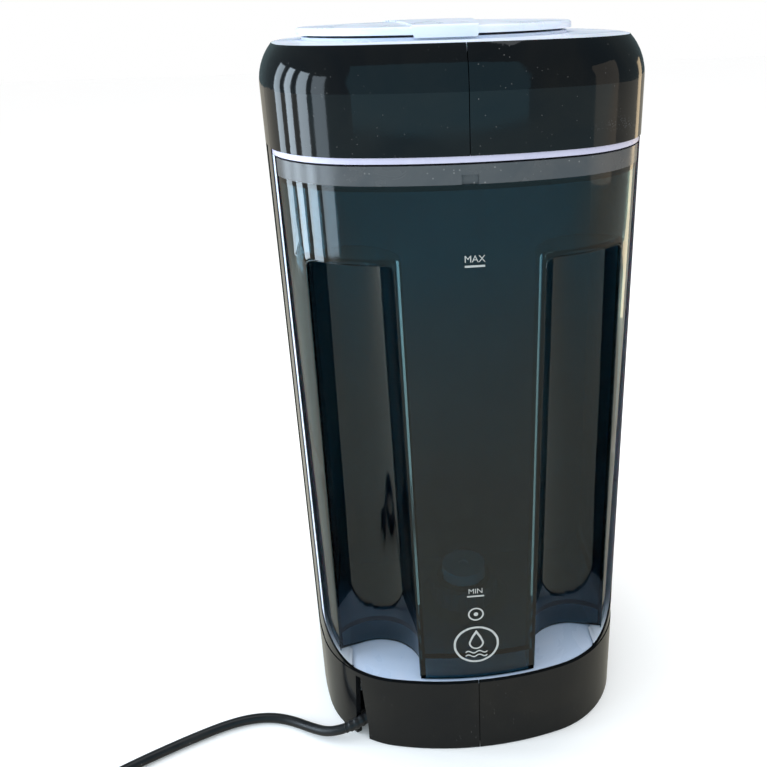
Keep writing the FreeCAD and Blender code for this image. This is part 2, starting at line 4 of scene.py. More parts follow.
import bmesh
import bpy
from mathutils import Matrix, Vector


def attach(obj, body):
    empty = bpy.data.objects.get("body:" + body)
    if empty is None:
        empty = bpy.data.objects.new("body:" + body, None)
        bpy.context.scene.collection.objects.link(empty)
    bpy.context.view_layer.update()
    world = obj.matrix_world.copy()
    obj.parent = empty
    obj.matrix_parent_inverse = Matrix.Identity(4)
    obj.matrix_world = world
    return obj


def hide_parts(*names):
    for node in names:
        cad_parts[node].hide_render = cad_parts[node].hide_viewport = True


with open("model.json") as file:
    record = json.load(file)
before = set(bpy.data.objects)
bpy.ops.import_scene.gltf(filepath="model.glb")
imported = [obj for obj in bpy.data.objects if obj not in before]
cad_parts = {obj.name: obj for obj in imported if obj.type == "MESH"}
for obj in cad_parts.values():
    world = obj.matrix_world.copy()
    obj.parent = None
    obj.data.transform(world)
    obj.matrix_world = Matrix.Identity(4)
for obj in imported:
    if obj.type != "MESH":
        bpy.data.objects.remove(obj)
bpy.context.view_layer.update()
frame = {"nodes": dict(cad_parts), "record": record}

MM = 0.001
NODES = frame["nodes"]
scene = bpy.context.scene
scene.view_settings.view_transform = "Standard"


# ---------------------------------------------------------------- camera

VIEWPOINT = (-43.1, -470.75, 425.94)
YAW, PITCH, ROLL = 0.084, 0.400, -0.029
LENS, SENSOR = 38.3, 36.0
SHIFT_ACROSS, SHIFT_UP = -0.08605, -0.04237


def make_camera():
    """The viewpoint: in front of the tank side, a little left of it and looking down."""
    look = Vector(
        (math.sin(YAW) * math.cos(PITCH), math.cos(YAW) * math.cos(PITCH), -math.sin(PITCH))
    )
    right = Vector((math.cos(YAW), -math.sin(YAW), 0))
    up = right.cross(look)
    right, up = (
        right * math.cos(ROLL) + up * math.sin(ROLL),
        up * math.cos(ROLL) - right * math.sin(ROLL),
    )
    data = bpy.data.cameras.new("camera")
    data.sensor_width = SENSOR
    data.lens = LENS
    data.shift_x = SHIFT_ACROSS
    data.shift_y = SHIFT_UP
    data.clip_start = 0.01
    camera = bpy.data.objects.new("camera", data)
    place = Matrix((right, up, -look)).transposed().to_4x4()
    place.translation = Vector(VIEWPOINT) * MM
    camera.matrix_world = place
    scene.collection.objects.link(camera)
    scene.camera = camera


make_camera()


# ---------------------------------------------------------------- the mains lead

# A curve's own box grows by its points' radius, so they are kept small and its depth is made up for it.
POINT_RADIUS = 0.003
CORD_D = 6.0
COIL = Vector((-241.2, -153.1, 0.0))
COIL_R = 33.0
LEAD = [
    (-58.0, -76.0, 15.2),
    (-70.0, -82.6, 13.6),
    (-82.0, -85.8, 10.4),
    (-94.2, -84.2, 6.6),
    (-105.9, -76.6, 3.9),
    (-117.4, -69.2, 3.05),
    (-130.5, -64.6, 3.05),
    (-144.6, -64.0, 3.05),
    (-159.7, -67.2, 3.05),
    (-176.8, -74.1, 3.05),
    (-194.9, -82.5, 3.05),
    (-214.0, -92.2, 3.05),
    (-232.1, -103.0, 3.05),
    (-247.2, -114.9, 3.3),
]
TAIL = [
    (-246.2, -188.8, 8.0),
    (-233.6, -192.8, 7.4),
    (-220.5, -193.9, 7.0),
    (-207.5, -193.6, 7.0),
]
# Where each turn lies in the bundle: out from the coil's mean ring, and up, in lead diameters.
# A turn crosses to the next one's place in the last CROSSING of its way round.
TURNS = [
    (0.5, 0.78), (-0.5, 0.78), (0.0, 1.67), (-1.0, 1.65), (-0.5, 2.54), (0.5, 2.54), (1.0, 1.67),
]
TURN_POINTS = 16
COIL_START, COIL_END = 128.0, 247.0
CROSSING = 0.3


def coil_points():
    """The coil's turns, starting where the lead runs into it and ending where the tail leaves."""
    total = (len(TURNS) - 1) * 360.0 + (COIL_END - COIL_START) % 360.0
    count = round(total / 360.0 * TURN_POINTS)
    points = []
    for n in range(1, count):
        along = n / count * total
        turn = min(along / 360.0, len(TURNS) - 1.001)
        low = int(turn)
        part = max(0.0, (turn - low - 1 + CROSSING) / CROSSING)
        part = part * part * (3 - 2 * part)
        out, rise = [
            TURNS[low][k] * (1 - part) + TURNS[low + 1][k] * part for k in (0, 1)
        ]
        r = COIL_R + out * CORD_D
        a = math.radians(COIL_START + along)
        points.append((COIL.x + r * math.cos(a), COIL.y + r * math.sin(a), rise * CORD_D))
    return points


def make_cord(name, points, bevel=CORD_D / 2):
    curve = bpy.data.curves.new(name, "CURVE")
    curve.dimensions = "3D"
    spline = curve.splines.new("NURBS")
    spline.points.add(len(points) - 1)
    for point, place in zip(spline.points, points):
        point.co = (place[0] * MM, place[1] * MM, place[2] * MM, 1.0)
        point.radius = POINT_RADIUS
    spline.order_u = 3
    spline.use_endpoint_u = True
    spline.resolution_u = 8
    curve.bevel_depth = bevel * MM / POINT_RADIUS
    curve.bevel_resolution = 6
    curve.use_fill_caps = True
    cord = bpy.data.objects.new(name, curve)
    scene.collection.objects.link(cord)
    return cord


def centreline(points):
    """Points along the lead's smooth line, from a copy of it with no thickness."""
    guide = make_cord("guide", points, 0.0)
    mesh = bpy.data.meshes.new_from_object(guide)
    line = [v.co.copy() for v in mesh.vertices]
    bpy.data.objects.remove(guide)
    return line


ROUTE = LEAD + coil_points() + TAIL
LINE = centreline(ROUTE)
cord = make_cord("mains_lead", ROUTE)
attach(cord, "base")
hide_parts("cord", "cord_coil", "cord_tail")


# ---------------------------------------------------------------- making pieces

RING_SIDES = 28
BOOT_RIBS, BOOT_GROOVE = 6, 0.45
PRINT_T = 0.1


def finish_mesh(name, bm, smooth_below=35.0):
    """A bmesh in millimetres becomes an object in metres at the origin."""
    bmesh.ops.scale(bm, vec=(MM, MM, MM), verts=bm.verts)
    bmesh.ops.recalc_face_normals(bm, faces=bm.faces)
    mesh = bpy.data.meshes.new(name)
    bm.to_mesh(mesh)
    bm.free()
    mesh.shade_smooth()
    mesh.set_sharp_from_angle(angle=math.radians(smooth_below))
    piece = bpy.data.objects.new(name, mesh)
    scene.collection.objects.link(piece)
    return piece


def new_points(made):
    """The vertices among what an extrusion made."""
    return [v for v in made["geom"] if isinstance(v, bmesh.types.BMVert)]


def along_line(line, profile):
    """A tube of changing radius round a line: profile gives (distance along the line, radius) in mm."""
    bm = bmesh.new()
    rings = []
    for distance, radius in profile:
        left = distance * MM
        for a, b in zip(line, line[1:]):
            step = (b - a).length
            if left <= step and step > 0:
                break
            left -= step
        middle = a + (b - a) * (left / step)
        turn = (b - a).to_track_quat("Z", "Y").to_matrix().to_4x4()
        made = bmesh.ops.create_circle(
            bm, cap_ends=False, segments=RING_SIDES, radius=radius,
            matrix=Matrix.Translation(middle / MM) @ turn,
        )
        rings.append({e for v in made["verts"] for e in v.link_edges})
    for low, high in zip(rings, rings[1:]):
        bmesh.ops.bridge_loops(bm, edges=list(low | high))
    bmesh.ops.holes_fill(bm, edges=[e for e in bm.edges if e.is_boundary], sides=0)
    return bm


def ribbed(start, end, r_start, r_end):
    """A boot's profile: it tapers from start to end with rings of grooves."""
    profile = []
    for n in range(BOOT_RIBS * 4 + 1):
        share = n / (BOOT_RIBS * 4)
        dip = BOOT_GROOVE if n % 4 in (2, 3) else 0.0
        profile.append((start + (end - start) * share, r_start + (r_end - r_start) * share - dip))
    return profile


def flat_shape(loops=(), words="", size=1.0):
    """A flat cut-out as a mesh in mm, from closed curves or from level words."""
    if words:
        curve = bpy.data.curves.new("print", "FONT")
        curve.body = words
        curve.size = size
        curve.align_x = "CENTER"
        curve.offset = -0.004 * size
        curve.space_character = 0.96
    else:
        curve = bpy.data.curves.new("print", "CURVE")
        curve.dimensions = "2D"
        curve.fill_mode = "BOTH"
        for points, sharp in loops:
            spline = curve.splines.new("BEZIER")
            spline.bezier_points.add(len(points) - 1)
            spline.use_cyclic_u = True
            for n, (handle, place) in enumerate(zip(spline.bezier_points, points)):
                handle.co = (*place, 0)
                kind = "VECTOR" if sharp == "all" or n in sharp else "AUTO"
                handle.handle_left_type = kind
                handle.handle_right_type = kind
    curve.extrude = PRINT_T / 2
    curve.resolution_u = 8
    holder = bpy.data.objects.new("print", curve)
    scene.collection.objects.link(holder)
    bpy.context.view_layer.update()
    seen = bpy.context.evaluated_depsgraph_get()
    mesh = bpy.data.meshes.new_from_object(holder.evaluated_get(seen))
    bpy.data.objects.remove(holder)
    return mesh


def ring_loop(r):
    """A circle of radius r round the middle."""
    return [(r * math.cos(math.pi * n / 6), r * math.sin(math.pi * n / 6)) for n in range(12)], ()


def bar_loop(x0, x1, y0, y1):
    """A rectangle with sharp corners."""
    return [(x0, y0), (x1, y0), (x1, y1), (x0, y1)], "all"


def drop_loop(y, r):
    """A water drop r wide at its round part, its tip up."""
    points = [(0, 2.1), (0.78, 0.62), (0.92, -0.3), (0, -1), (-0.92, -0.3), (-0.78, 0.62)]
    return [(a * r, y + b * r) for a, b in points], (0,)


def wrapped(name, shapes, surface, body):
    """Flat prints laid on a curved wall: surface gives the wall's point at (x, z) and a height on it."""
    bm = bmesh.new()
    for mesh, (x, z) in shapes:
        start = len(bm.verts)
        bm.from_mesh(mesh)
        bm.verts.ensure_lookup_table()
        for v in bm.verts[start:]:
            v.co = surface(x + v.co.x, z + v.co.y, v.co.z)
    bmesh.ops.remove_doubles(bm, verts=bm.verts, dist=0.0005)
    piece = finish_mesh(name, bm, 30)
    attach(piece, body)
    return piece


# ---------------------------------------------------------------- surface effects

def shader_node(tree, kind, inputs=None, **settings):
    """A new node with its settings made, and its inputs set or linked."""
    made = tree.nodes.new(kind)
    for key, value in settings.items():
        setattr(made, key, value)
    for key, value in (inputs or {}).items():
        if isinstance(value, bpy.types.NodeSocket):
            tree.links.new(value, made.inputs[key])
        else:
            made.inputs[key].default_value = value
    return made


def effect(name, inputs, outputs):
    """A new node group with its named sockets; returns the group and its two end nodes."""
    tree = bpy.data.node_groups.new(name, "ShaderNodeTree")
    for key, kind, value in inputs:
        socket = tree.interface.new_socket(key, in_out="INPUT", socket_type=kind)
        if value is not None:
            socket.default_value = value
    for key, kind in outputs:
        tree.interface.new_socket(key, in_out="OUTPUT", socket_type=kind)
    return tree, tree.nodes.new("NodeGroupInput").outputs, tree.nodes.new("NodeGroupOutput").inputs


def remapped(tree, value, low, high, to_low=0.0, to_high=1.0):
    """A value that runs from to_low to to_high as the given one runs from low to high."""
    made = shader_node(
        tree, "ShaderNodeMapRange",
        {"Value": value, "From Min": low, "From Max": high, "To Min": to_low, "To Max": to_high},
    )
    return made.outputs["Result"]


def maths(tree, operation, a, b=0.0):
    return shader_node(tree, "ShaderNodeMath", {0: a, 1: b}, operation=operation).outputs[0]


FLOAT, PLACE = "NodeSocketFloat", "NodeSocketVector"
# The share of dust cells that hold no speck.
SPECKLESS = 0.72
SCRATCH_TURNS, SCRATCH_STRETCH, SCRATCH_RARE = (0.9, -0.7), (3200.0, 3200.0, 70.0), 0.76
RUBBED_FINE, RUBBED_SIZE, RUBBED_DULL = 1300.0, 0.42, 0.35
DUST_FINE = 420.0
# How much of the slow waviness lies under the grain, and the height of both in metres.
WAVE, GRAIN_DEPTH = 0.5, 0.0002


def make_smudges():
    """Wide, soft patches where hands and cloths have been."""
    tree, given, out = effect(
        "smudges",
        [("Place", PLACE, None), ("Scale", FLOAT, 20.0)],
        [("Mask", FLOAT)],
    )
    broad = shader_node(
        tree, "ShaderNodeTexNoise",
        {
            "Vector": given["Place"], "Scale": given["Scale"], "Detail": 4.0, "Roughness": 0.6,
            "Distortion": 0.8,
        },
    )
    tree.links.new(remapped(tree, broad.outputs["Fac"], 0.38, 0.68), out["Mask"])
    return tree


def make_dust():
    """Small specks of dust, thicker in some places than in others."""
    tree, given, out = effect(
        "dust_specks",
        [("Place", PLACE, None), ("Scale", FLOAT, DUST_FINE), ("Size", FLOAT, 0.16)],
        [("Mask", FLOAT)],
    )
    cells = shader_node(
        tree, "ShaderNodeTexVoronoi",
        {"Vector": given["Place"], "Scale": given["Scale"], "Randomness": 1.0},
    )
    patches = shader_node(
        tree, "ShaderNodeTexNoise", {"Vector": given["Place"], "Scale": 34.0, "Detail": 3.0},
    )
    pick = shader_node(tree, "ShaderNodeSeparateColor", {"Color": cells.outputs["Color"]})
    few = maths(tree, "GREATER_THAN", pick.outputs[0], SPECKLESS)
    near = maths(tree, "LESS_THAN", cells.outputs["Distance"], given["Size"])
    thick = remapped(tree, patches.outputs["Fac"], 0.42, 0.66)
    tree.links.new(maths(tree, "MULTIPLY", maths(tree, "MULTIPLY", near, few), thick), out["Mask"])
    return tree


def make_scratches():
    """Hairline scratches: short straight streaks of a strongly stretched noise, in two directions."""
    tree, given, out = effect(
        "hairline_scratches",
        [("Place", PLACE, None), ("Rare", FLOAT, SCRATCH_RARE)],
        [("Mask", FLOAT)],
    )
    marks = []
    for turn in SCRATCH_TURNS:
        leaned = shader_node(
            tree, "ShaderNodeMapping",
            {
                "Vector": given["Place"], "Rotation": (turn, 1.2 + turn * 0.5, turn),
                "Scale": SCRATCH_STRETCH,
            },
        )
        lines = shader_node(
            tree, "ShaderNodeTexNoise",
            {"Vector": leaned.outputs["Vector"], "Scale": 1.0, "Detail": 0.0},
        )
        marks.append(maths(tree, "GREATER_THAN", lines.outputs["Fac"], given["Rare"]))
    tree.links.new(maths(tree, "MAXIMUM", marks[0], marks[1]), out["Mask"])
    return tree


def make_patch():
    """A soft-edged round patch about a point, for wear that lies in one place."""
    tree, given, out = effect(
        "worn_patch",
        [
            ("Place", PLACE, None), ("Centre", PLACE, (0.0, 0.0, 0.0)),
            ("Flatten", PLACE, (1.0, 1.0, 1.0)), ("Reach", FLOAT, 0.02),
        ],
        [("Mask", FLOAT)],
    )
    away = shader_node(
        tree, "ShaderNodeVectorMath", {0: given["Place"], 1: given["Centre"]}, operation="SUBTRACT",
    )
    flat = shader_node(
        tree, "ShaderNodeVectorMath", {0: away.outputs[0], 1: given["Flatten"]}, operation="MULTIPLY",
    )
    far = shader_node(tree, "ShaderNodeVectorMath", {0: flat.outputs[0]}, operation="LENGTH")
    share = maths(tree, "DIVIDE", far.outputs["Value"], given["Reach"])
    tree.links.new(remapped(tree, share, 1.0, 0.35), out["Mask"])
    return tree


def make_grain():
    """The fine skin of moulded plastic: a dense low grain over a slow waviness."""
    tree, given, out = effect(
        "moulded_grain",
        [("Place", PLACE, None), ("Scale", FLOAT, 1800.0)],
        [("Height", FLOAT)],
    )
    fine = shader_node(
        tree, "ShaderNodeTexNoise", {"Vector": given["Place"], "Scale": given["Scale"], "Detail": 2.0},
    )
    slow = shader_node(
        tree, "ShaderNodeTexNoise", {"Vector": given["Place"], "Scale": 22.0, "Detail": 1.0},
    )
    waves = maths(tree, "MULTIPLY", slow.outputs["Fac"], WAVE)
    tree.links.new(maths(tree, "ADD", fine.outputs["Fac"], waves), out["Height"])
    return tree


SMUDGES = make_smudges()
DUST = make_dust()
SCRATCHES = make_scratches()
PATCH = make_patch()
GRAIN = make_grain()


def placed(tree, group, inputs):
    """An effect put into a material with its own values; returns what the effect gives out."""
    made = tree.nodes.new("ShaderNodeGroup")
    made.node_tree = group
    for key, value in inputs.items():
        if isinstance(value, bpy.types.NodeSocket):
            tree.links.new(value, made.inputs[key])
        else:
            made.inputs[key].default_value = value
    return made.outputs[0]


def blended(tree, factor, a, b):
    """A colour between a and b."""
    made = shader_node(tree, "ShaderNodeMix", {"Factor": factor}, data_type="RGBA")
    for index, value in ((6, a), (7, b)):
        if isinstance(value, bpy.types.NodeSocket):
            tree.links.new(value, made.inputs[index])
        else:
            made.inputs[index].default_value = (*value, 1.0)
    return made.outputs[2]


def finish(
    name, colour, second, rough=(0.1, 0.2), dust=0.3, dust_size=0.16, dust_colour=(0.6, 0.58, 0.55),
    smudge_scale=20.0, scratch=0.0, scratch_colour=(0.35, 0.37, 0.4), grain=0.0, grain_scale=1800.0,
    patches=(), plain=None,
):
    """A moulded or painted finish: two close colours, smudges in the gloss, dust, scratches and grain.

    A patch is its centre, how it is flattened, its reach and its strength. plain holds the shader's own
    values that are the same all over, such as its metallic or coat weight.
    """
    mat = bpy.data.materials.new(name)
    mat.use_nodes = True
    tree = mat.node_tree
    shader = tree.nodes["Principled BSDF"]
    place = tree.nodes.new("ShaderNodeTexCoord").outputs["Object"]
    smudge = placed(tree, SMUDGES, {"Place": place, "Scale": smudge_scale})
    base = blended(tree, smudge, colour, second)
    gloss = remapped(tree, smudge, 0.0, 1.0, *rough)
    if scratch or patches:
        worn = 0.0
        if scratch:
            lines = placed(tree, SCRATCHES, {"Place": place, "Rare": SCRATCH_RARE})
            worn = maths(tree, "MULTIPLY", lines, scratch)
        for centre, flatten, reach, strong in patches:
            here = placed(
                tree, PATCH, {"Place": place, "Centre": centre, "Flatten": flatten, "Reach": reach},
            )
            rubbed = placed(tree, DUST, {"Place": place, "Scale": RUBBED_FINE, "Size": RUBBED_SIZE})
            strength = maths(tree, "MULTIPLY", here, strong)
            worn = maths(tree, "MAXIMUM", worn, maths(tree, "MULTIPLY", strength, rubbed))
        base = blended(tree, worn, base, scratch_colour)
        gloss = maths(tree, "ADD", gloss, maths(tree, "MULTIPLY", worn, RUBBED_DULL))
    if dust:
        specks = placed(tree, DUST, {"Place": place, "Scale": DUST_FINE, "Size": dust_size})
        base = blended(tree, maths(tree, "MULTIPLY", specks, dust), base, dust_colour)
    tree.links.new(base, shader.inputs["Base Color"])
    tree.links.new(gloss, shader.inputs["Roughness"])
    if grain:
        height = placed(tree, GRAIN, {"Place": place, "Scale": grain_scale})
        bump = shader_node(
            tree, "ShaderNodeBump", {"Height": height, "Strength": grain, "Distance": GRAIN_DEPTH},
        )
        tree.links.new(bump.outputs["Normal"], shader.inputs["Normal"])
    for key, value in (plain or {}).items():
        shader.inputs[key].default_value = value
    return mat


# ---------------------------------------------------------------- finishes

FINISH = {
    "casing": finish(
        "gloss_black_shell", (0.0035, 0.0045, 0.006), (0.008, 0.008, 0.008), rough=(0.035, 0.11),
        dust=0.16, dust_size=0.11, smudge_scale=14.0,
        patches=(((0.083, -0.068, 0.3725), (0.8, 0.6, 5.5), 0.026, 0.8),),
        grain=0.03, grain_scale=900.0, plain={"Specular IOR Level": 0.32},
    ),
    "white": finish(
        "satin_white_moulding", (0.74, 0.81, 0.94), (0.80, 0.84, 0.93), rough=(0.26, 0.42),
        dust=0.25, dust_size=0.13, dust_colour=(0.30, 0.29, 0.28), smudge_scale=30.0, grain=0.10,
        plain={"Subsurface Weight": 0.05, "Subsurface Scale": 0.002},
    ),
    "tank": finish(
        "smoky_clear_tank", (0.15, 0.31, 0.39), (0.18, 0.33, 0.40), rough=(0.02, 0.07),
        dust=0.22, dust_size=0.10, dust_colour=(0.55, 0.6, 0.62), smudge_scale=24.0, scratch=0.05,
        scratch_colour=(0.45, 0.5, 0.52), grain=0.02, grain_scale=600.0,
        plain={"Transmission Weight": 1.0, "IOR": 1.49},
    ),
    "tank_trim": finish(
        "frosted_tank_lid", (0.060, 0.064, 0.070), (0.080, 0.080, 0.082), rough=(0.18, 0.34),
        dust=0.3, smudge_scale=40.0, grain=0.08,
    ),
    "lens": finish(
        "dark_display_lens", (0.006, 0.006, 0.008), (0.012, 0.012, 0.014), rough=(0.02, 0.08),
        dust=0.4, smudge_scale=30.0, plain={"Coat Weight": 0.5, "Coat Roughness": 0.03},
    ),
    "inner_white": finish(
        "matte_white_moulding", (0.70, 0.71, 0.72), (0.62, 0.62, 0.61), rough=(0.45, 0.6),
        dust=0.3, dust_colour=(0.4, 0.38, 0.35), grain=0.15,
    ),
    "black_plastic": finish(
        "matte_black_moulding", (0.016, 0.016, 0.017), (0.028, 0.027, 0.026), rough=(0.42, 0.6),
        dust=0.5, grain=0.35, grain_scale=1200.0,
    ),
    "rubber": finish(
        "soft_rubber", (0.018, 0.018, 0.018), (0.035, 0.034, 0.033), rough=(0.6, 0.8),
        dust=0.6, grain=0.3,
    ),
    "cord_black": finish(
        "satin_flex_sheath", (0.008, 0.0085, 0.010), (0.016, 0.016, 0.017), rough=(0.28, 0.42),
        dust=0.4, dust_size=0.12, smudge_scale=60.0, grain=0.15, plain={"Specular IOR Level": 0.4},
    ),
    "steel": finish(
        "zinc_plated_steel", (0.55, 0.55, 0.54), (0.42, 0.42, 0.42), rough=(0.22, 0.4),
        dust=0.0, scratch=0.3, grain=0.1, plain={"Metallic": 1.0},
    ),
    "pins": finish(
        "nickel_plated_pins", (0.72, 0.68, 0.58), (0.6, 0.55, 0.45), rough=(0.15, 0.3),
        dust=0.0, scratch=0.4, plain={"Metallic": 1.0},
    ),
    "brass": finish(
        "silvered_disc", (0.75, 0.6, 0.34), (0.6, 0.48, 0.28), rough=(0.25, 0.4),
        dust=0.0, scratch=0.2, plain={"Metallic": 1.0},
    ),
    "aluminium": finish(
        "cast_aluminium", (0.68, 0.69, 0.7), (0.55, 0.56, 0.57), rough=(0.3, 0.5),
        dust=0.0, scratch=0.2, grain=0.3, plain={"Metallic": 1.0},
    ),
    "board": finish(
        "lacquered_board", (0.012, 0.13, 0.05), (0.02, 0.19, 0.08), rough=(0.25, 0.4),
        dust=0.3, smudge_scale=160.0, grain=0.1,
    ),
    "filter": finish(
        "open_foam", (0.05, 0.05, 0.055), (0.11, 0.11, 0.12), rough=(0.85, 0.95),
        dust=0.6, smudge_scale=500.0, grain=0.9, grain_scale=420.0,
    ),
}
# The bay's ceiling: the white moulding, darker and tinted lilac as painted shade for the shade under the
# tower's head.
BAY_WHITE_IN_PAINTED_SHADE = finish(
    "white_moulding_painted_shade", (0.50, 0.48, 0.62), (0.56, 0.54, 0.66), rough=(0.26, 0.42),
    dust=0.2, dust_size=0.12, dust_colour=(0.30, 0.29, 0.28), smudge_scale=30.0, grain=0.10,
)
# The bay's tray: the white moulding, darker and bluer as painted shade for the shade low in the bay, under
# the tank.
TRAY_WHITE_IN_PAINTED_SHADE = finish(
    "white_moulding_painted_tray_shade", (0.58, 0.70, 0.90), (0.64, 0.73, 0.90), rough=(0.24, 0.4),
    dust=0.25, dust_size=0.12, dust_colour=(0.30, 0.29, 0.28), smudge_scale=30.0, grain=0.10,
)
PRINT = finish(
    "grey_print", (0.44, 0.46, 0.45), (0.34, 0.36, 0.35), rough=(0.35, 0.5), dust=0.0,
    smudge_scale=900.0, scratch=0.25, scratch_colour=(0.08, 0.09, 0.10),
)


def dress(piece, made):
    """Gives the whole piece one finish."""
    piece.data.materials.clear()
    piece.data.materials.append(made)


for part in frame["record"]["subparts"]:
    dress(NODES[part["node"]], FINISH[part["material_slot"]])
# The bay's ceiling gets the white moulding with painted shade.
dress(NODES["bay_ceiling"], BAY_WHITE_IN_PAINTED_SHADE)
# The bay's tray gets the white moulding with painted shade.
dress(NODES["bay_tray"], TRAY_WHITE_IN_PAINTED_SHADE)
dress(cord, FINISH["cord_black"])


# ---------------------------------------------------------------- prints

PLAN_R, PLAN_HALF = 200.0, 101.0
CORNER_R = 60.0
PLAN_AWAY, PLAN_SPAN = PLAN_R - PLAN_HALF, PLAN_R - CORNER_R
CORNER = (math.sqrt(2 * PLAN_SPAN**2 - PLAN_AWAY**2) - PLAN_AWAY) / 2
# The tank's wall at its foot and at its top: the height, and how far it lies inside the tower's plan.
TANK_LOW, TANK_HIGH = (53.6, 3.6), (350.5, 1.5)
WINDOW_INSET = 0.2
PRINT_LIFT = 0.09


def wall_y(x, inset):
    """How far forward the tower's plan, drawn in by inset, lies at x on the tank side."""
    front = PLAN_R - inset
    if abs(x) <= front * CORNER / PLAN_SPAN:
        return PLAN_AWAY - math.sqrt(front * front - x * x)
    return -CORNER - math.sqrt(max(0.0, (CORNER_R - inset) ** 2 - (abs(x) - CORNER) ** 2))


def on_tank(x, z, out):
    """The tank's outer wall: a shallow front and round corners that lean out a little towards the top."""
    share = (z - TANK_LOW[0]) / (TANK_HIGH[0] - TANK_LOW[0])
    inset = TANK_LOW[1] + (TANK_HIGH[1] - TANK_LOW[1]) * share
    return Vector((x, wall_y(x, inset) - PRINT_LIFT - out, z))


def on_window(x, z, out):
    """The control window, read from the other side of the tower."""
    r = PLAN_R - WINDOW_INSET
    return Vector((-x, math.sqrt(r * r - x * x) - PLAN_AWAY + PRINT_LIFT + out, z))


def level_marks():
    """The upper and lower water level, with two plain signs under them."""
    bar = flat_shape([bar_loop(-4.9, 4.9, -0.5, 0.5)])
    dot = flat_shape([ring_loop(4.6), ring_loop(3.7), ring_loop(1.3)])
    waves = []
    for y in (-5.6, -8.4):
        top = [(-6.5 + 1.3 * n, y + 0.75 * math.sin(n * 1.25) + 0.45) for n in range(11)]
        low = [(a, b - 0.9) for a, b in reversed(top)]
        waves.append((top + low, (0, 10, 11, 21)))
    sign = flat_shape(
        [ring_loop(13.4), ring_loop(12.1), drop_loop(1.2, 4.6), drop_loop(1.0, 3.5)] + waves
    )
    shapes = [
        (flat_shape(words="MAX", size=4.9), (1.5, 313.3)),
        (bar, (1.5, 311.3)),
        (flat_shape(words="MIN", size=4.9), (-0.8, 116.7)),
        (bar, (-0.8, 114.7)),
        (dot, (-0.8, 101.7)),
        (sign, (-0.8, 79.2)),
    ]
    return wrapped("level_marks", shapes, on_tank, "tank")


def window_marks():
    """The touch signs in the control window: power, mist with its levels, plus, and the stages."""
    shapes = [
        (flat_shape([ring_loop(4.2), ring_loop(3.4)]), (0, 307)),
        (flat_shape([bar_loop(-0.45, 0.45, 1.6, 5.4)]), (0, 307)),
        (flat_shape([drop_loop(0, 2.6)]), (-15, 306)),
        (flat_shape([bar_loop(-2.8, 2.8, -0.4, 0.4)]), (15, 307)),
        (flat_shape([bar_loop(-0.4, 0.4, -2.8, 2.8)]), (15, 307)),
    ]
    for n in range(3):
        shapes.append((flat_shape([bar_loop(-2.2, 2.2, -0.5, 0.5)]), (-15, 318 + 3 * n)))
    for n in range(4):
        shapes.append((flat_shape([ring_loop(1.0)]), (-9 + 6 * n, 340)))
    return wrapped("window_marks", shapes, on_window, "base")


for piece in (level_marks(), window_marks()):
    dress(piece, PRINT)


# ---------------------------------------------------------------- the rolled edges of the finger recesses

# A recess at the tank's foot and at its top: the x and y of its middle, and its radius.
GRIP_LOW, GRIP_HIGH, GRIP_TOP = (61.0, -86.0, 28.0), (59.8, -88.0, 24.3), 312.5
EDGE_LOW, EDGE_STEP, EDGE_STEPS = 56.0, 12.5, 21
EDGE_R, EDGE_SINK, EDGE_TURN = 0.42, 0.25, (0.3, 1.6)


def recess_edge(z):
    """Where a recess breaks through the tank's front at height z: the x of its inner and outer edge."""
    share = (z - TANK_LOW[0]) / (GRIP_TOP - TANK_LOW[0])
    x, y, r = [a + (b - a) * share for a, b in zip(GRIP_LOW, GRIP_HIGH)]
    edges = []
    for way in (-1, 1):
        low, high = x, x + way * (r + 3)
        for _ in range(30):
            middle = (low + high) / 2
            wall = on_tank(middle, z, 0)
            inside = (middle - x) ** 2 + (wall.y - y) ** 2 < r * r
            low, high = (middle, high) if inside else (low, middle)
        edges.append(low)
    return edges


def recess_rim(side):
    """A thin rolled edge that runs up one side of a recess, across its top and down the other side."""
    heights = [EDGE_LOW + EDGE_STEP * n for n in range(EDGE_STEPS)]
    inner = [(recess_edge(z)[0], z) for z in heights]
    outer = [(recess_edge(z)[1], z) for z in heights]
    left, right = recess_edge(GRIP_TOP)
    across = [(left + (right - left) * n / 12, GRIP_TOP) for n in range(1, 12)]
    aside, below = EDGE_TURN
    across = [(left + aside, GRIP_TOP - below)] + across + [(right - aside, GRIP_TOP - below)]
    points = [on_tank(side * x, z, -EDGE_SINK) for x, z in inner + across + outer[::-1]]
    tube = make_cord("recess_rim", [tuple(p) for p in points], EDGE_R)
    mesh = bpy.data.meshes.new_from_object(tube)
    bpy.data.objects.remove(tube)
    bm = bmesh.new()
    bm.from_mesh(mesh)
    bmesh.ops.scale(bm, vec=(1 / MM, 1 / MM, 1 / MM), verts=bm.verts)
    piece = finish_mesh("recess_rim_right" if side > 0 else "recess_rim_left", bm, 60)
    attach(piece, "tank")
    return piece


for side in (-1, 1):
    dress(recess_rim(side), FINISH["tank"])


# ---------------------------------------------------------------- the white front edges of the bay's walls

# LIP_STRAIGHT is the share of the lip above its corner, and LIP_END the angle where it runs out.
LIP_TOP, LIP_DEPTH, LIP_STRAIGHT, LIP_END = 360.2, 14.0, 0.6, 17.0
LIP_INSET, LIP_SLANT = 0.9, 1.5
# The corner's inner and outer edge: the x and z of the bend's middle, and its radius.
INNER_BEND, OUTER_BEND = (69.0, 75.4, 23.0), (69.0, 77.4, 24.9)


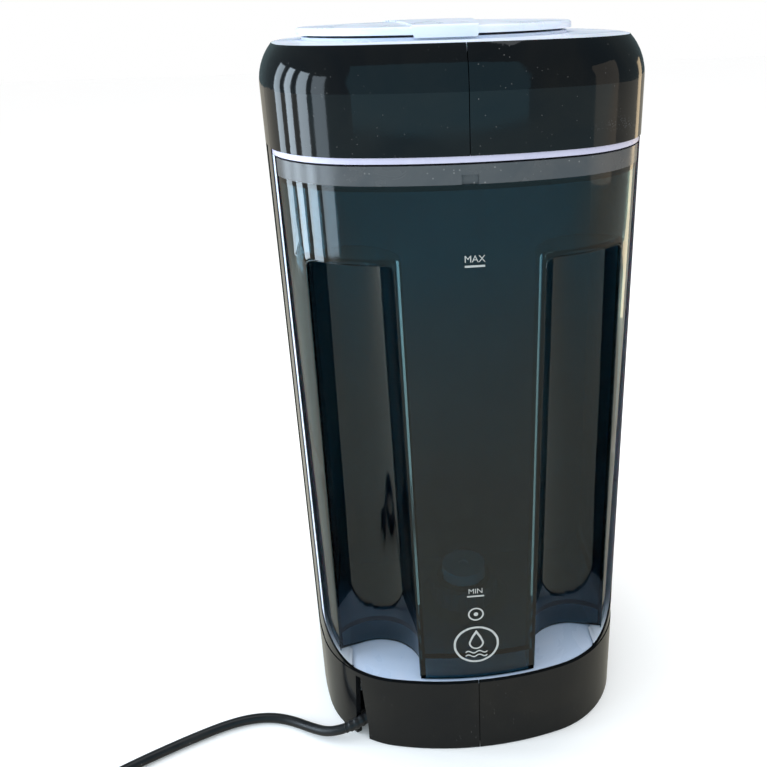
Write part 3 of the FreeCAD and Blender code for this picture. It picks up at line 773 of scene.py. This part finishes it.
def lip_point(along, across):
    """A point of the lip's front: down the side, then round the lower corner, where it narrows."""
    ends = []
    bend = max(0.0, (along - LIP_STRAIGHT) / (1 - LIP_STRAIGHT))
    angle = math.radians(90.0 - (90.0 - LIP_END) * bend)
    for x, z, r in (INNER_BEND, OUTER_BEND):
        rise = max(0.0, 1 - along / LIP_STRAIGHT) * (LIP_TOP - z)
        ends.append((x + r * math.sin(angle), z - r * math.cos(angle) + rise))
    x, z = [a + (b - a) * across for a, b in zip(*ends)]
    return Vector((x, wall_y(x, LIP_INSET + LIP_SLANT * bend), z))


def bay_lip(side):
    """The front edge of one side wall, drawn back into the bay."""
    bm = bmesh.new()
    bmesh.ops.create_grid(bm, x_segments=70, y_segments=1, size=1.0)
    for v in bm.verts:
        v.co = lip_point((v.co.x + 1) / 2, (v.co.y + 1) / 2)
        v.co.x *= side
    front = bm.faces[:]
    made = bmesh.ops.extrude_face_region(bm, geom=front, use_keep_orig=True)
    bmesh.ops.translate(bm, vec=(0, LIP_DEPTH, 0), verts=new_points(made))
    piece = finish_mesh("bay_lip_right" if side > 0 else "bay_lip_left", bm, 40)
    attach(piece, "base")
    return piece


for side in (-1, 1):
    dress(bay_lip(side), FINISH["white"])


# ---------------------------------------------------------------- the lead's fittings

def lead_boot():
    """The tapered, ribbed strain relief, from a collar behind the casing out through the slit."""
    collar = [(0.5, 3.0), (0.6, 5.2), (2.4, 5.4), (2.8, 4.0)]
    profile = collar + ribbed(5.0, 27.0, 3.9, 3.35) + [(27.4, 3.0)]
    return finish_mesh("lead_boot", along_line(LINE, profile))


def plug_boot():
    """The ribbed boot at the plug, which starts on the plug's back."""
    profile = [(0.0, 3.1), (0.1, 4.9)] + ribbed(1.0, 24.0, 4.8, 3.5) + [(24.4, 3.0)]
    return finish_mesh("plug_boot", along_line(LINE[::-1], profile))


TIE_TURN, TIE_HIGH, TIE_R, TIE_WIDE, TIE_T = 20.0, 10.0, 9.3, 7.0, 0.6


def coil_tie():
    """A strap round the bundle of turns."""
    bm = bmesh.new()
    angle = math.radians(TIE_TURN)
    middle = Vector((COIL.x + COIL_R * math.cos(angle), COIL.y + COIL_R * math.sin(angle), TIE_HIGH))
    stand = Matrix.Rotation(angle, 4, "Z") @ Matrix.Rotation(math.radians(90), 4, "X")
    bmesh.ops.create_circle(bm, segments=56, radius=TIE_R, matrix=Matrix.Translation(middle) @ stand)
    along = Vector((-math.sin(angle), math.cos(angle), 0))
    bmesh.ops.translate(bm, vec=along * (-TIE_WIDE / 2), verts=bm.verts)
    wide = bmesh.ops.extrude_edge_only(bm, edges=bm.edges)
    bmesh.ops.translate(bm, vec=along * TIE_WIDE, verts=new_points(wide))
    bmesh.ops.recalc_face_normals(bm, faces=bm.faces)
    bmesh.ops.solidify(bm, geom=bm.faces[:], thickness=-TIE_T)
    return finish_mesh("coil_tie", bm, 40)


fittings = [lead_boot(), plug_boot(), coil_tie()]
for piece in fittings:
    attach(piece, "base")
    dress(piece, FINISH["cord_black"])
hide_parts("cord_gland")


# ---------------------------------------------------------------- floor and lights

FLOOR_SIZE = 6.0
FLOOR_PALE, FLOOR_NEAR, FLOOR_FAR = (0.985, 0.985, 0.985), (0.40, 0.375, 0.31), (0.26, 0.46, 0.52)
NEAR_END, FAR_START = -0.40, -1.10
SKY_PALE, SKY_DIM = (1.0, 1.0, 1.0), (0.10, 0.14, 0.15)


def pale_to_the_eye(tree, pale, dim):
    """A background that lights the scene pale but is dim in gloss, as a studio's flags make it."""
    rays = tree.nodes.new("ShaderNodeLightPath")
    return blended(tree, rays.outputs["Is Glossy Ray"], pale, dim)


def make_stage():
    """The pale floor, which gloss shows warm close by and cool further off."""
    bm = bmesh.new()
    bmesh.ops.create_grid(bm, x_segments=1, y_segments=1, size=FLOOR_SIZE)
    mesh = bpy.data.meshes.new("floor")
    bm.to_mesh(mesh)
    bm.free()
    floor = bpy.data.objects.new("floor", mesh)
    scene.collection.objects.link(floor)
    mat = bpy.data.materials.new("pale_floor")
    mat.use_nodes = True
    shader = mat.node_tree.nodes["Principled BSDF"]
    tree = mat.node_tree
    place = tree.nodes.new("ShaderNodeTexCoord").outputs["Object"]
    ahead = shader_node(tree, "ShaderNodeSeparateXYZ", {"Vector": place}).outputs["Y"]
    far = remapped(tree, ahead, NEAR_END, FAR_START)
    dim = blended(tree, far, FLOOR_NEAR, FLOOR_FAR)
    tree.links.new(pale_to_the_eye(tree, FLOOR_PALE, dim), shader.inputs["Base Color"])
    shader.inputs["Emission Color"].default_value = (1.0, 1.0, 1.0, 1.0)
    shader.inputs["Emission Strength"].default_value = 0.05
    shader.inputs["Roughness"].default_value = 0.8
    shader.inputs["Specular IOR Level"].default_value = 0.1
    mesh.materials.append(mat)


def make_world():
    """Even light from all round."""
    world = bpy.data.worlds.new("studio")
    scene.world = world
    world.use_nodes = True
    tree = world.node_tree
    background = tree.nodes["Background"]
    tree.links.new(pale_to_the_eye(tree, SKY_PALE, SKY_DIM), background.inputs["Color"])
    background.inputs["Strength"].default_value = 1.0


def softbox(name, place, target, size, power, colour):
    """A rectangular studio light that faces its target."""
    data = bpy.data.lights.new(name, "AREA")
    data.shape = "RECTANGLE"
    data.size, data.size_y = size
    data.energy = power
    data.color = colour
    light = bpy.data.objects.new(name, data)
    place, target = Vector(place), Vector(target)
    facing = (place - target).to_track_quat("Z", "Y").to_matrix().to_4x4()
    light.matrix_world = Matrix.Translation(place) @ facing
    scene.collection.objects.link(light)


# The row of tall lights at the left: how far back each stands, its width and its power.
WINDOW_LIGHTS = {
    "window_near": (-0.55, 0.26, 2.6),
    "window_middle": (-0.20, 0.20, 4.6),
    "window_far": (0.10, 0.15, 3.6),
    "window_last": (0.42, 0.20, 2.4),
}
COOL_LIGHT = (0.72, 0.87, 1.0)

make_stage()
make_world()
for name, (y, wide, power) in WINDOW_LIGHTS.items():
    softbox(name, (-1.0, y, 0.40), (0, y * 0.2, 0.36), (wide, 0.80), power, COOL_LIGHT)
softbox("blue_wall", (-0.15, -1.9, 1.15), (0, 0, 1.0), (2.3, 2.1), 10.0, (0.20, 0.60, 0.80))
softbox("warm_wall", (1.5, -0.5, 0.5), (0, 0, 0.25), (0.8, 1.0), 1.6, (1.0, 0.82, 0.62))
softbox("warm_strip", (0.62, 0.40, 0.24), (0.09, -0.06, 0.24), (0.12, 0.48), 0.35, (1.0, 0.76, 0.46))
softbox("overhead", (0.1, 0.3, 1.7), (0, 0, 0.40), (1.2, 1.2), 8, (0.92, 0.96, 1.0))
